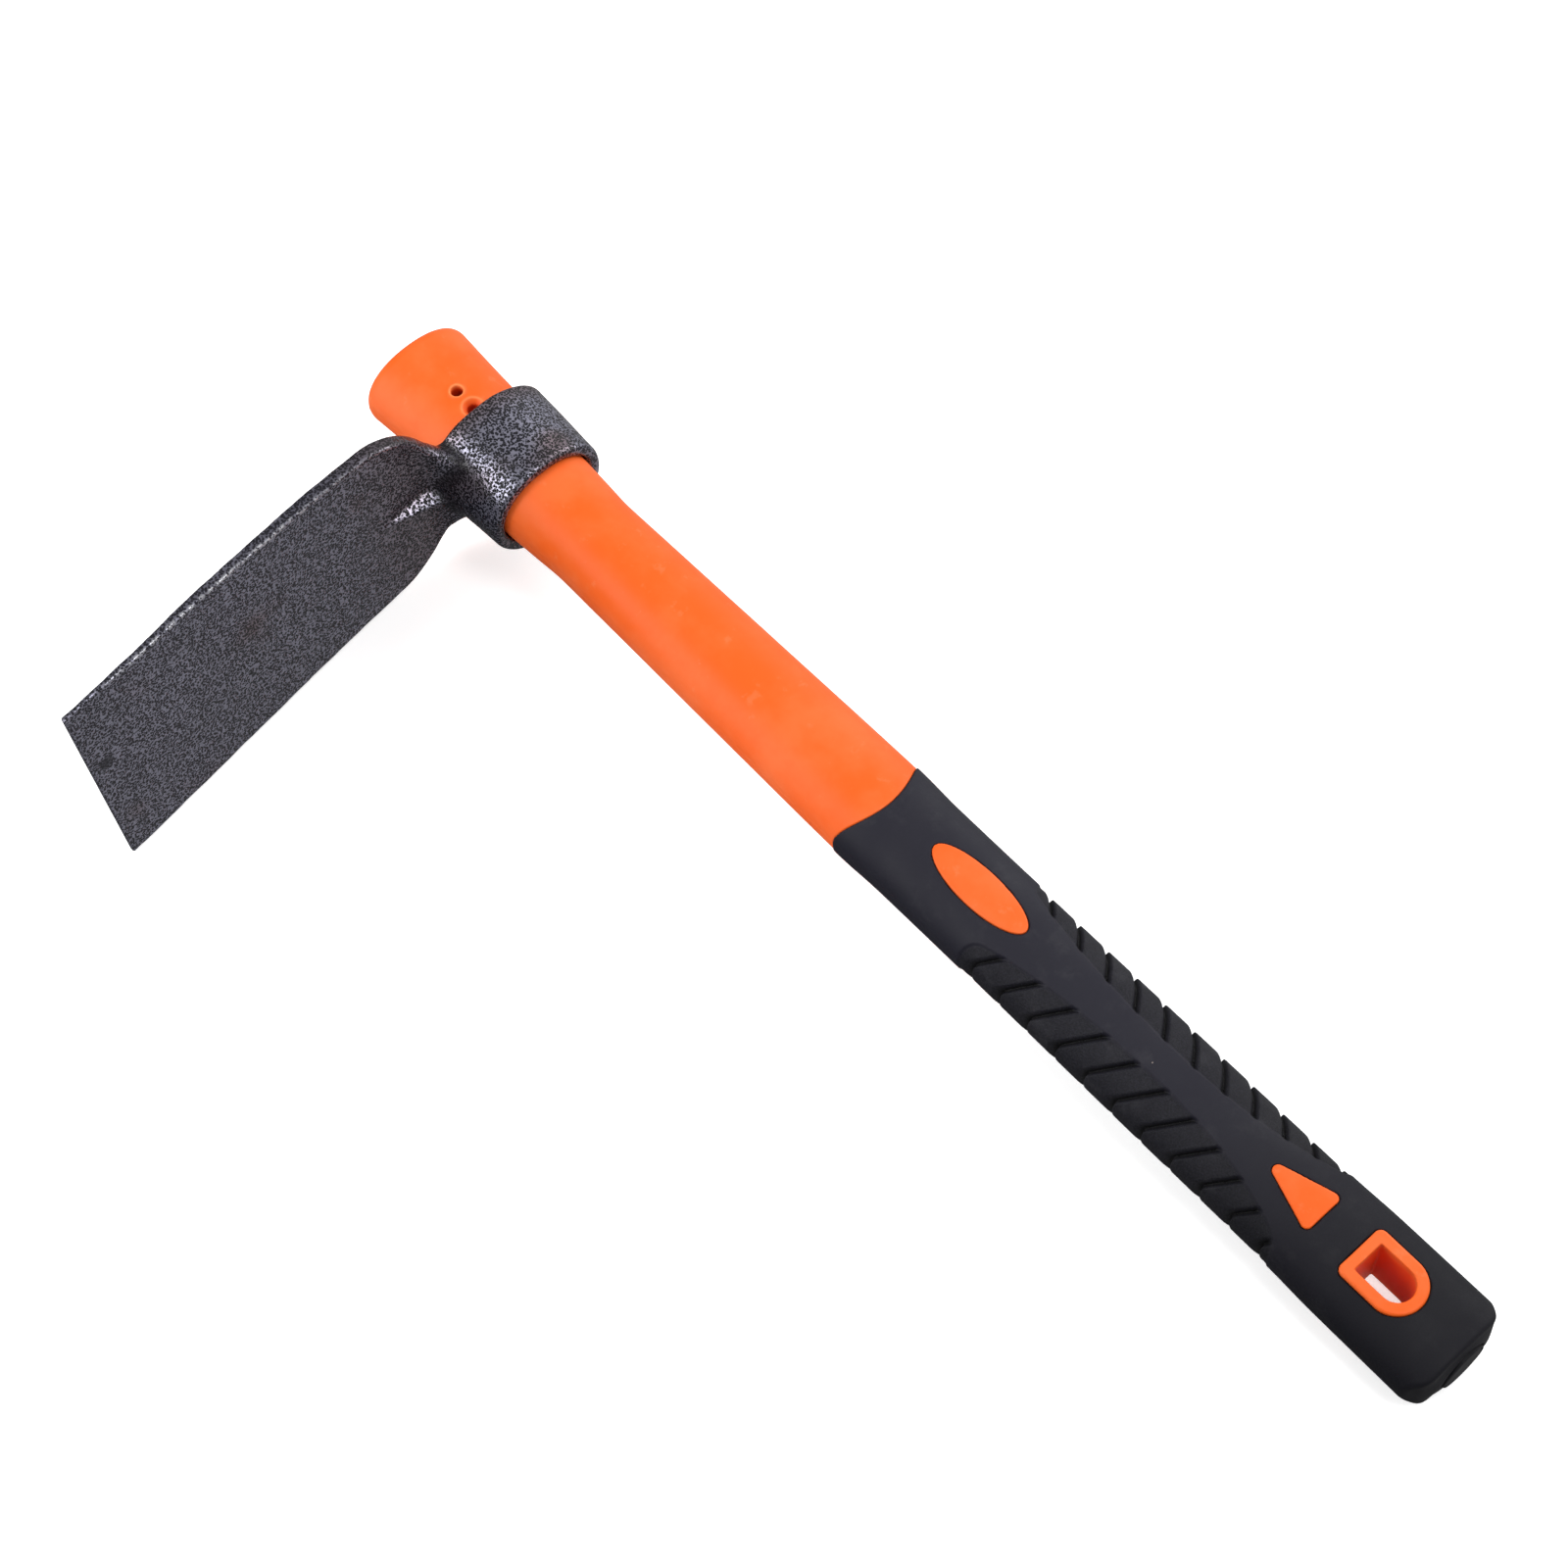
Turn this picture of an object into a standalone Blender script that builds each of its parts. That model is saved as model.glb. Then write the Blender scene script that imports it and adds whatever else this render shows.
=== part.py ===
"""Grub hoe: a forged blade with an oval eye, slipped over a moulded fibreglass handle with a rubber grip.

Metres, +Z up. The origin is the centre of the handle's top end, on its axis. +X runs down the handle to
the butt, the blade points to -Y, and Z is the blade's width, so the tool lies on its side.
"""

import math

import bmesh
import bpy
from mathutils import Matrix, Vector

# ---------------------------------------------------------------- driving dimensions, in metres
GAP = 0.0003                  # left between pieces that touch
AROUND = 40                   # points round an oval section
CLEAR = 0.02                  # how far a flat cutter reaches past the handle's faces

# Handle outline: (x, half width in Y, half thickness in Z, squareness of the oval)
TOP_X = 0.0
GRIP_X = 0.1946               # where the rubber starts, at the handle's sides
BUTT_X = 0.4002
JACKET_STATIONS = (
    (TOP_X, 0.0177, 0.0138, 2.15),
    (0.0276, 0.0160, 0.0134, 2.15),
    (0.0610, 0.0149, 0.0128, 2.15),
    (0.0706, 0.0143, 0.0125, 2.20),
    (0.0816, 0.0136, 0.0124, 2.25),
    (0.0966, 0.0138, 0.0123, 2.30),
    (0.1416, 0.0145, 0.0121, 2.30),
    (0.2066, 0.0150, 0.0118, 2.35),
)
GRIP_STATIONS = (
    (0.1860, 0.0154, 0.0121, 2.35),
    (0.1966, 0.0155, 0.0121, 2.35),
    (0.2116, 0.0150, 0.0118, 2.35),
    (0.2366, 0.0149, 0.0117, 2.35),
    (0.3066, 0.0151, 0.0118, 2.40),
    (0.3506, 0.0152, 0.0118, 2.40),
    (0.3666, 0.0157, 0.0112, 2.45),
    (BUTT_X, 0.0159, 0.0110, 2.45),
)
SLEEVE_X = GRIP_STATIONS[0][0]
TOP_ROUNDING = 0.0028
BUTT_CHAMFER = 0.0033
BUTT_CHAMFER_EASE = 0.0005    # softens both edges of the chamfer
BUTT_DOME = 0.0007            # how far the end of the rubber bulges past its chamfer
BUTT_DOME_SPREAD = 0.0040     # the bulge flattens out this far inside the chamfer
RUBBER = 0.0023               # thickness of the rubber over the jacket
TONGUE = 0.0063               # how far the orange reaches down the middle of each face
TONGUE_HALF_WIDTH = 0.0156
JACKET_END_X = 0.3926

CORE_RADIUS = 0.0070
CORE_END_X = 0.3586

# Orange pads that show through the rubber
PAD_PROUD = 0.0003
ELLIPSE_X, ELLIPSE_LENGTH, ELLIPSE_WIDTH = 0.2345, 0.0336, 0.0108
TRIANGLE_APEX_X, TRIANGLE_BASE_X, TRIANGLE_HALF_BASE, TRIANGLE_CORNER = 0.3337, 0.3542, 0.0066, 0.0016
EYELET_X, EYELET_LENGTH, EYELET_HALF_WIDTH, EYELET_CORNER = 0.3652, 0.0203, 0.0079, 0.0020
EYELET_FACE_Z = 0.0113
EYELET_WALL = 0.0032
EYELET_HOLE_CORNER = 0.0004

# Screw holes near the handle's top, on the +Z face
PILOT_X, PILOT_RADIUS = 0.0232, 0.00175
SCREW_X, SCREW_RADIUS, SCREW_HEAD_RADIUS, SCREW_HEAD_DEPTH = 0.0303, 0.00175, 0.0032, 0.0016
SCREW_HOLE_FLOOR_Z = 0.0080

# Chevron grooves in the sides of the rubber
GROOVES = 11
GROOVE_X, GROOVE_PITCH = 0.2460, 0.01012
GROOVE_WIDTH, GROOVE_DEPTH = 0.0019, 0.0011
GROOVE_ANGLE = math.radians(52)
SPINE_HALF_WIDTH = 0.0056

PLUG_RADIUS, PLUG_PROUD, PLUG_SEAT = 0.0070, 0.0008, 0.0012
STEM_RADIUS, STEM_X = 0.0030, 0.3861

# Head: (x, half width in Y, half thickness in Z) of the eye's outside and inside
EYE_TOP_X, EYE_FOOT_X = 0.0334, 0.0611
EYE_OUTSIDE = ((EYE_TOP_X, 0.0203, 0.0179), (EYE_FOOT_X, 0.0189, 0.0165))
EYE_INSIDE = ((EYE_TOP_X, 0.0161, 0.0138), (EYE_FOOT_X, 0.0154, 0.0131))
EYE_SQUARENESS = 2.15
EYE_RIM = 0.0012

BLADE_TIP_Y = -0.1464
BLADE_TIP_X = 0.0471          # of the face on the handle's side, at the cutting edge
BLADE_LEAN = 0.106            # that face moves this far towards the top, per metre towards the eye
# (y, half width, thickness)
BLADE_STATIONS = (
    (-0.0180, 0.0175, 0.0044),
    (-0.0230, 0.0235, 0.0045),
    (-0.0280, 0.0288, 0.0044),
    (-0.0330, 0.0327, 0.0042),
    (-0.0380, 0.0349, 0.0041),
    (-0.0440, 0.0356, 0.0040),
    (-0.0700, 0.0358, 0.0036),
    (-0.1100, 0.0368, 0.0027),
    (-0.1440, 0.0378, 0.0016),
    (BLADE_TIP_Y, 0.0370, 0.0012),
)
# Root of the blade: (y, half width, lowest x, highest x)
NECK_SQUARENESS = 3.2
NECK_STATIONS = (
    (-0.0110, 0.0100, 0.0341, 0.0466),
    (-0.0150, 0.0138, 0.0326, 0.0446),
    (-0.0190, 0.0178, 0.0308, 0.0414),
    (-0.0220, 0.0215, 0.0301, 0.0382),
    (-0.0255, 0.0255, 0.0300, 0.0358),
    (-0.0310, 0.0300, 0.0305, 0.0340),
)
# Rib on the blade's face towards the handle: (y, half width, x of the crest)
RIB_STATIONS = (
    (-0.0170, 0.0072, 0.0476),
    (-0.0220, 0.0058, 0.0421),
    (-0.0280, 0.0040, 0.0381),
    (-0.0330, 0.0022, 0.0363),
    (-0.0372, 0.0007, 0.0356),
)
RIB_ROOT = 0.0015             # how far the rib's base is sunk in the blade


# ---------------------------------------------------------------- scene
for old in list(bpy.data.objects):
    bpy.data.objects.remove(old)

parts = bpy.data.collections.new("grub_hoe")
cutters = bpy.data.collections.new("cutters")
for collection in (parts, cutters):
    bpy.context.scene.collection.children.link(collection)


def add_empty(name):
    """A frame on the handle's axis, which is also the line the head slides along."""
    empty = bpy.data.objects.new(name, None)
    empty.empty_display_size = 0.02
    parts.objects.link(empty)
    return empty


def add_part(obj, name, frame, material):
    """Makes a shape one of the hoe's pieces."""
    obj.name = name
    obj.data.name = name
    cutters.objects.unlink(obj)
    parts.objects.link(obj)
    obj.hide_render = False
    obj.display_type = "TEXTURED"
    obj.parent = frame
    obj.data.materials.clear()
    obj.data.materials.append(material)
    obj.data.shade_smooth()
    obj.data.set_sharp_from_angle(angle=math.radians(35))
    return obj


def add_material(name, colour, roughness, metallic=0.0):
    material = bpy.data.materials.new(name)
    material.use_nodes = True
    shader = material.node_tree.nodes["Principled BSDF"]
    shader.inputs["Base Color"].default_value = (*colour, 1.0)
    shader.inputs["Roughness"].default_value = roughness
    shader.inputs["Metallic"].default_value = metallic
    return material


# ---------------------------------------------------------------- shapes
def add_mesh(name, bm):
    """A helper shape. It stays hidden unless add_part makes it a piece."""
    bmesh.ops.recalc_face_normals(bm, faces=bm.faces)
    mesh = bpy.data.meshes.new(name)
    bm.to_mesh(mesh)
    bm.free()
    obj = bpy.data.objects.new(name, mesh)
    cutters.objects.link(obj)
    obj.hide_render = True
    obj.display_type = "WIRE"
    return obj


def add_loft(name, rings):
    """A closed skin over sections that each have the same number of points."""
    bm = bmesh.new()
    loops = [[bm.verts.new(point) for point in ring] for ring in rings]
    count = len(loops[0])
    for near, far in zip(loops, loops[1:]):
        for i in range(count):
            j = (i + 1) % count
            bm.faces.new((near[i], near[j], far[j], far[i]))
    bm.faces.new(reversed(loops[0]))
    bm.faces.new(loops[-1])
    return add_mesh(name, bm)


def add_rod(name, radius, low_x, high_x, segments=32):
    """A round rod along X."""
    bm = bmesh.new()
    middle = Matrix.Translation(((low_x + high_x) / 2, 0, 0))
    bmesh.ops.create_cone(
        bm, cap_ends=True, segments=segments, radius1=radius, radius2=radius,
        depth=high_x - low_x, matrix=middle @ Matrix.Rotation(math.pi / 2, 4, "Y"),
    )
    return add_mesh(name, bm)


def add_drill(name, x, low_radius, high_radius, low_z, high_z):
    """A round cutter along Z."""
    bm = bmesh.new()
    bmesh.ops.create_cone(
        bm, cap_ends=True, segments=20, radius1=low_radius, radius2=high_radius,
        depth=high_z - low_z, matrix=Matrix.Translation((x, 0, (low_z + high_z) / 2)),
    )
    return add_mesh(name, bm)


def add_plates(name, outlines, half_height):
    """Flat outlines in the XY plane, thickened both ways along Z."""
    curve = bpy.data.curves.new(name, "CURVE")
    curve.dimensions = "2D"
    curve.fill_mode = "BOTH"
    curve.extrude = half_height
    for outline in outlines:
        spline = curve.splines.new("POLY")
        spline.points.add(len(outline) - 1)
        for point, (x, y) in zip(spline.points, outline):
            point.co = (x, y, 0, 1)
        spline.use_cyclic_u = True
    flat = bpy.data.objects.new(name, curve)
    cutters.objects.link(flat)
    evaluated = flat.evaluated_get(bpy.context.evaluated_depsgraph_get())
    bm = bmesh.new()
    bm.from_mesh(bpy.data.meshes.new_from_object(evaluated))
    bmesh.ops.remove_doubles(bm, verts=bm.verts, dist=1e-6)
    bpy.data.objects.remove(flat)
    return add_mesh(name, bm)


def combine(obj, other, operation):
    modifier = obj.modifiers.new(f"{operation.lower()} {other.name}", "BOOLEAN")
    modifier.operation = operation
    modifier.solver = "EXACT"
    modifier.object = other
    return obj


# ---------------------------------------------------------------- sections and outlines
def oval(x, half_width, half_thickness, squareness):
    """A superellipse across the handle."""
    ring = []
    for i in range(AROUND):
        angle = math.tau * i / AROUND
        c, s = math.cos(angle), math.sin(angle)
        reach = (abs(c) ** squareness + abs(s) ** squareness) ** (-1 / squareness)
        ring.append(Vector((x, half_width * reach * c, half_thickness * reach * s)))
    return ring


def station_at(stations, x):
    """Width, thickness and squareness at x, eased through the stations without overshoot."""
    x = min(max(x, stations[0][0]), stations[-1][0])
    after = next(i for i in range(1, len(stations)) if x <= stations[i][0])
    low, high = stations[after - 1], stations[after]
    span = high[0] - low[0]
    t = (x - low[0]) / span

    def slope(i, k):
        if i in (0, len(stations) - 1):
            return 0.0 if k == 3 else edge_slope(stations, i, k)
        left = (stations[i][k] - stations[i - 1][k]) / (stations[i][0] - stations[i - 1][0])
        right = (stations[i + 1][k] - stations[i][k]) / (stations[i + 1][0] - stations[i][0])
        return 0.0 if left * right <= 0 else 2 * left * right / (left + right)

    values = []
    for k in (1, 2, 3):
        values.append(
            (1 + 2 * t) * (1 - t) ** 2 * low[k] + t * t * (3 - 2 * t) * high[k]
            + span * t * (1 - t) * ((1 - t) * slope(after - 1, k) - t * slope(after, k))
        )
    return values


def edge_slope(stations, i, k):
    near, far = (0, 1) if i == 0 else (-2, -1)
    return (stations[far][k] - stations[near][k]) / (stations[far][0] - stations[near][0])


def steps(low, high, size):
    count = max(1, math.ceil((high - low) / size))
    return [low + (high - low) * i / count for i in range(count + 1)]


def handle_loft(name, stations, low_x, high_x, size, inset=0.0, ends=()):
    """A stretch of the handle. ends holds extra (x, inset) sections of a rounded end."""
    places = sorted([(x, inset) for x in steps(low_x, high_x, size)] + list(ends))
    rings = []
    for x, less in places:
        half_width, half_thickness, squareness = station_at(stations, x)
        rings.append(oval(x, half_width - less, half_thickness - less, squareness))
    return add_loft(name, rings)


def arc(centre, radius, start, end, count):
    """Points on a circle in the XY plane, from the start to the end angle in degrees."""
    angles = [math.radians(start + (end - start) * i / count) for i in range(count + 1)]
    return [(centre[0] + radius * math.cos(a), centre[1] + radius * math.sin(a)) for a in angles]


def rounded(corners, radius, count=4):
    """A polygon, listed anticlockwise, with each corner replaced by an arc."""
    points = []
    for i, corner in enumerate(corners):
        here = Vector(corner)
        back = (Vector(corners[i - 1]) - here).normalized()
        ahead = (Vector(corners[(i + 1) % len(corners)]) - here).normalized()
        half = back.angle(ahead) / 2
        centre = here + (back + ahead).normalized() * radius / math.sin(half)
        start = math.degrees(math.atan2(-back.x, back.y))
        turn = 180 - math.degrees(2 * half)
        points += arc(centre, radius, start + 180, start + 180 + turn, count)
    return points


def ellipse_outline(grow):
    half_length, half_width = ELLIPSE_LENGTH / 2 + grow, ELLIPSE_WIDTH / 2 + grow
    angles = [math.tau * i / 28 for i in range(28)]
    return [(ELLIPSE_X + half_length * math.cos(a), half_width * math.sin(a)) for a in angles]


def triangle_outline(grow):
    """A rounded triangle that points to the head. grow moves every side out by the same amount."""
    half_apex = math.atan2(TRIANGLE_HALF_BASE, TRIANGLE_BASE_X - TRIANGLE_APEX_X)
    apex_x = TRIANGLE_APEX_X - grow / math.sin(half_apex)
    base_x = TRIANGLE_BASE_X + grow
    half_base = (base_x - apex_x) * math.tan(half_apex)
    corners = [(apex_x, 0), (base_x, -half_base), (base_x, half_base)]
    return rounded(corners, TRIANGLE_CORNER + max(grow, 0))


def eyelet_outline(grow, corner):
    """A D with its straight side towards the head and its bow towards the butt."""
    half_width = EYELET_HALF_WIDTH + grow
    low_x = EYELET_X - grow
    bow_x = EYELET_X + EYELET_LENGTH + grow - half_width
    bow = arc((bow_x, 0), half_width, -90, 90, 12)
    top = arc((low_x + corner, half_width - corner), corner, 90, 180, 3)
    bottom = arc((low_x + corner, corner - half_width), corner, 180, 270, 3)
    return bow + top + bottom


def front_outline(shift):
    """Everything on the head's side of the curved line where the rubber starts."""
    beyond = 1.25
    edge = []
    for i in range(17):
        across = beyond * (i / 8 - 1)
        x = GRIP_X + TONGUE * (1 - across * across) + shift
        edge.append((x, across * TONGUE_HALF_WIDTH))
    reach = beyond * TONGUE_HALF_WIDTH
    return edge + [(TOP_X - CLEAR, reach), (TOP_X - CLEAR, -reach)]


# ---------------------------------------------------------------- handle
def rounded_end(face_x, radius, towards, count=4):
    """(x, inset) sections of a rim that rolls over to a flat face at face_x."""
    angles = [math.pi / 2 * i / count for i in range(count + 1)]
    return [(face_x - towards * radius * (1 - math.sin(a)), radius * (1 - math.cos(a))) for a in angles]


def add_pads(grow, proud, name):
    """The orange shapes that stand up through the rubber on both faces. With no proud they are a cutter."""
    pads = add_plates(name, [ellipse_outline(grow), triangle_outline(grow)], CLEAR)
    if proud is not None:
        low_x = ELLIPSE_X - ELLIPSE_LENGTH / 2 - 0.004
        skin = handle_loft(
            name + "_skin", GRIP_STATIONS, low_x, TRIANGLE_BASE_X + 0.004, 0.012, inset=-proud
        )
        combine(pads, skin, "INTERSECT")
    return pads


def add_jacket(frame, material):
    """The orange moulding: handle body, flared top, pads and hanging eyelet in one piece."""
    jacket = handle_loft(
        "jacket", JACKET_STATIONS, TOP_X + TOP_ROUNDING + 0.001, JACKET_STATIONS[-1][0], 0.008,
        ends=rounded_end(TOP_X, TOP_ROUNDING, -1),
    )
    combine(jacket, add_plates("orange_front", [front_outline(-GAP / 2)], CLEAR), "INTERSECT")
    tang = handle_loft("tang", GRIP_STATIONS, SLEEVE_X + 0.001, JACKET_END_X, 0.016, inset=RUBBER + GAP)
    combine(jacket, tang, "UNION")
    combine(jacket, add_pads(0, PAD_PROUD, "pads"), "UNION")
    eyelet = add_plates("eyelet", [eyelet_outline(0, EYELET_CORNER)], EYELET_FACE_Z)
    combine(jacket, eyelet, "UNION")
    hole = add_plates("eyelet_hole", [eyelet_outline(-EYELET_WALL, EYELET_HOLE_CORNER)], CLEAR)
    combine(jacket, hole, "DIFFERENCE")
    bore = add_rod("core_bore", CORE_RADIUS + GAP, TOP_X - 0.005, CORE_END_X + GAP)
    combine(jacket, bore, "DIFFERENCE")
    stem_hole = add_rod("stem_hole", STEM_RADIUS + GAP, STEM_X - GAP, BUTT_X + 0.01, 20)
    combine(jacket, stem_hole, "DIFFERENCE")
    pilot = add_drill("pilot_hole", PILOT_X, PILOT_RADIUS, PILOT_RADIUS, SCREW_HOLE_FLOOR_Z, CLEAR)
    combine(jacket, pilot, "DIFFERENCE")
    screw = add_drill("screw_hole", SCREW_X, SCREW_RADIUS, SCREW_RADIUS, SCREW_HOLE_FLOOR_Z, CLEAR)
    combine(jacket, screw, "DIFFERENCE")
    face_z = station_at(JACKET_STATIONS, SCREW_X)[1]
    spread = SCREW_HEAD_RADIUS - SCREW_RADIUS
    above = 0.001
    countersink = add_drill(
        "countersink", SCREW_X, SCREW_RADIUS, SCREW_HEAD_RADIUS + spread * above / SCREW_HEAD_DEPTH,
        face_z - SCREW_HEAD_DEPTH, face_z + above,
    )
    combine(jacket, countersink, "DIFFERENCE")
    return add_part(jacket, "handle_jacket", frame, material)


def add_core(frame, material):
    core = add_rod("core", CORE_RADIUS, TOP_X, CORE_END_X)
    return add_part(core, "fibreglass_core", frame, material)


def groove_outlines():
    """Slanted bars over both sides of the grip, leaving its spine. They lean to the butt as they rise."""
    reach = 0.019
    along = GROOVE_WIDTH / math.sin(GROOVE_ANGLE) / 2
    lean = (reach - SPINE_HALF_WIDTH) / math.tan(GROOVE_ANGLE)
    notch_y = station_at(GRIP_STATIONS, GROOVE_X)[0]
    lead = (reach - notch_y) / math.tan(GROOVE_ANGLE)
    outlines = []
    for i in range(GROOVES):
        outer_x = GROOVE_X + i * GROOVE_PITCH - lead
        inner_x = outer_x + lean
        bar = [
            (outer_x - along, reach), (inner_x - along, SPINE_HALF_WIDTH),
            (inner_x + along, SPINE_HALF_WIDTH), (outer_x + along, reach),
        ]
        outlines += [bar, [(x, -y) for x, y in reversed(bar)]]
    return outlines


def add_grip(frame, material):
    """The rubber sleeve, closed at the butt."""
    rim_x = BUTT_X - BUTT_DOME
    ease = BUTT_CHAMFER_EASE
    chamfer = [
        (rim_x - BUTT_CHAMFER - ease, 0.0), (rim_x - BUTT_CHAMFER + ease, 1.4 * ease),
        (rim_x - 1.4 * ease, BUTT_CHAMFER - ease), (rim_x, BUTT_CHAMFER + ease),
    ]
    dome = [
        (rim_x + 0.75 * BUTT_DOME, BUTT_CHAMFER + BUTT_DOME_SPREAD / 2),
        (BUTT_X, BUTT_CHAMFER + BUTT_DOME_SPREAD),
    ]
    chamfer_x = rim_x - BUTT_CHAMFER - 0.002
    grip = handle_loft("grip", GRIP_STATIONS, SLEEVE_X, chamfer_x, 0.010, ends=chamfer + dome)
    combine(grip, add_plates("rubber_front", [front_outline(GAP / 2)], CLEAR), "DIFFERENCE")
    hollow = handle_loft("hollow", GRIP_STATIONS, SLEEVE_X - 0.001, JACKET_END_X + GAP, 0.016, inset=RUBBER)
    combine(grip, hollow, "DIFFERENCE")
    combine(grip, add_pads(GAP, None, "windows"), "DIFFERENCE")
    eyelet_window = add_plates("eyelet_window", [eyelet_outline(GAP, EYELET_CORNER + GAP)], CLEAR)
    combine(grip, eyelet_window, "DIFFERENCE")
    stem_hole = add_rod("stem_hole_rubber", STEM_RADIUS + GAP, JACKET_END_X - 0.004, BUTT_X + 0.01, 20)
    combine(grip, stem_hole, "DIFFERENCE")
    seat = add_rod("plug_seat", PLUG_RADIUS + GAP, BUTT_X - PLUG_SEAT, BUTT_X + 0.01)
    combine(grip, seat, "DIFFERENCE")
    grooves = add_plates("grooves", groove_outlines(), CLEAR)
    floor = handle_loft(
        "groove_floor", GRIP_STATIONS, GROOVE_X - 0.014, GROOVE_X + GROOVES * GROOVE_PITCH + 0.010,
        0.012, inset=GROOVE_DEPTH,
    )
    combine(grooves, floor, "DIFFERENCE")
    combine(grip, grooves, "DIFFERENCE")
    return add_part(grip, "rubber_grip", frame, material)


def add_plug(frame, material):
    """The small cap in the middle of the butt, on a stem that holds it in the jacket."""
    plug = add_rod("plug", PLUG_RADIUS, BUTT_X - PLUG_SEAT + GAP, BUTT_X + PLUG_PROUD)
    combine(plug, add_rod("stem", STEM_RADIUS, STEM_X, BUTT_X, 20), "UNION")
    return add_part(plug, "butt_plug", frame, material)


# ---------------------------------------------------------------- head
def eye_loft(name, ends, rim, beyond):
    """An oval cone along the handle. rim rounds its two edges, beyond lengthens it for a cutter."""
    (low_x, low_width, low_thick), (high_x, high_width, high_thick) = ends
    places = [(low_x - beyond, 0.0), (high_x + beyond, 0.0)]
    if rim:
        places = rounded_end(low_x, rim, -1, 3) + rounded_end(high_x, rim, 1, 3)
    rings = []
    for x, less in sorted(places):
        share = (x - low_x) / (high_x - low_x)
        half_width = low_width + (high_width - low_width) * share - less
        half_thickness = low_thick + (high_thick - low_thick) * share - less
        rings.append(oval(x, half_width, half_thickness, EYE_SQUARENESS))
    return add_loft(name, rings)


def blade_face_x(y):
    return BLADE_TIP_X - BLADE_LEAN * (y - BLADE_TIP_Y)


def plate_section(y, half_width, thickness):
    """A section across the blade, with rounded edges."""
    high_x = blade_face_x(y)
    low_x = high_x - thickness
    corners = [(low_x, -half_width), (high_x, -half_width), (high_x, half_width), (low_x, half_width)]
    return [Vector((x, y, z)) for x, z in rounded(corners, 0.42 * thickness, 3)]


def neck_section(y, half_width, low_x, high_x):
    """A flattened oval across the blade's root, between the two x limits."""
    middle, half = (low_x + high_x) / 2, (high_x - low_x) / 2
    circle = oval(0, 1, 1, NECK_SQUARENESS)
    return [Vector((middle + half * point.z, y, half_width * point.y)) for point in circle]


def rib_section(y, half_width, crest_x):
    """A rib with a narrow crest, sloping out to the blade's face on both sides."""
    base_x = blade_face_x(y) - RIB_ROOT
    shoulder_x = blade_face_x(y) + 0.55 * max(crest_x - blade_face_x(y), 0)
    outline = [
        (base_x, -half_width), (shoulder_x, -0.5 * half_width), (crest_x, -0.15 * half_width),
        (crest_x, 0.15 * half_width), (shoulder_x, 0.5 * half_width), (base_x, half_width),
    ]
    return [Vector((x, y, z)) for x, z in outline]


def add_head(frame, material):
    """The forging: an oval eye drawn out into a blade that stands square to the handle."""
    head = eye_loft("eye", EYE_OUTSIDE, EYE_RIM, 0)
    combine(head, add_loft("blade", [plate_section(*s) for s in BLADE_STATIONS]), "UNION")
    combine(head, add_loft("neck", [neck_section(*s) for s in NECK_STATIONS]), "UNION")
    combine(head, add_loft("rib", [rib_section(*s) for s in RIB_STATIONS]), "UNION")
    combine(head, eye_loft("eye_hole", EYE_INSIDE, 0, 0.006), "DIFFERENCE")
    return add_part(head, "hoe_head", frame, material)


orange = add_material("orange_polypropylene", (0.93, 0.18, 0.045), 0.45)
glass_fibre = add_material("glass_fibre", (0.62, 0.55, 0.36), 0.55)
black_rubber = add_material("black_rubber", (0.026, 0.025, 0.032), 0.62)
black_plastic = add_material("black_plastic", (0.030, 0.030, 0.034), 0.5)
hammered_paint = add_material("hammered_paint", (0.060, 0.060, 0.070), 0.38, 0.55)

handle_frame = add_empty("handle_frame")
head_frame = add_empty("head_slide_frame")
head_frame.parent = handle_frame

add_head(head_frame, hammered_paint)
add_jacket(handle_frame, orange)
add_core(handle_frame, glass_fibre)
add_grip(handle_frame, black_rubber)
add_plug(handle_frame, black_plastic)
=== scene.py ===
"""Looks of the grub hoe: its five pieces, the floor, the lights and the camera.

Shapes are distance fields in millimetres, in the frame's axes: negative inside a piece, positive outside.
Each field is meshed on a fine grid and scaled to metres. x runs down the handle, the blade points to -y.
"""

import math

import bmesh
import bpy
import numpy as np
from mathutils import Matrix, Vector


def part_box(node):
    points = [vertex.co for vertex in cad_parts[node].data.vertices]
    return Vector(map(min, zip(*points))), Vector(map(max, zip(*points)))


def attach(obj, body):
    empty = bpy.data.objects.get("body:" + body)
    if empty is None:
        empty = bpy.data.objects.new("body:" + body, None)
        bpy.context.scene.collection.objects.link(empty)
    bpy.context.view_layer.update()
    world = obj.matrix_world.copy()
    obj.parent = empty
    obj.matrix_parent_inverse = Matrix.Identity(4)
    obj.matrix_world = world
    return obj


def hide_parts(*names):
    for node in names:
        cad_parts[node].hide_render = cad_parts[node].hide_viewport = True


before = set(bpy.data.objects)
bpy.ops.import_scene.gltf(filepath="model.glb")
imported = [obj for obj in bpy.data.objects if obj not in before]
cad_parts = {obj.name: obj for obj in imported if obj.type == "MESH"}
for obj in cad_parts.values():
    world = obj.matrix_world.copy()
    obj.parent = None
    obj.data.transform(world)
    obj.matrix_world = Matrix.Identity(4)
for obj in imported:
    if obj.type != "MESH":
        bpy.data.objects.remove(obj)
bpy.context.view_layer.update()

MM = 0.001


def box_mm(node):
    low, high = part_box(node)
    return np.array(low) / MM, np.array(high) / MM


HANDLE_LOW, HANDLE_HIGH = box_mm("handle_jacket")
GRIP_LOW, GRIP_HIGH = box_mm("rubber_grip")
HEAD_LOW, HEAD_HIGH = box_mm("hoe_head")
CORE_LOW, CORE_HIGH = box_mm("fibreglass_core")
PLUG_LOW, PLUG_HIGH = box_mm("butt_plug")

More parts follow.
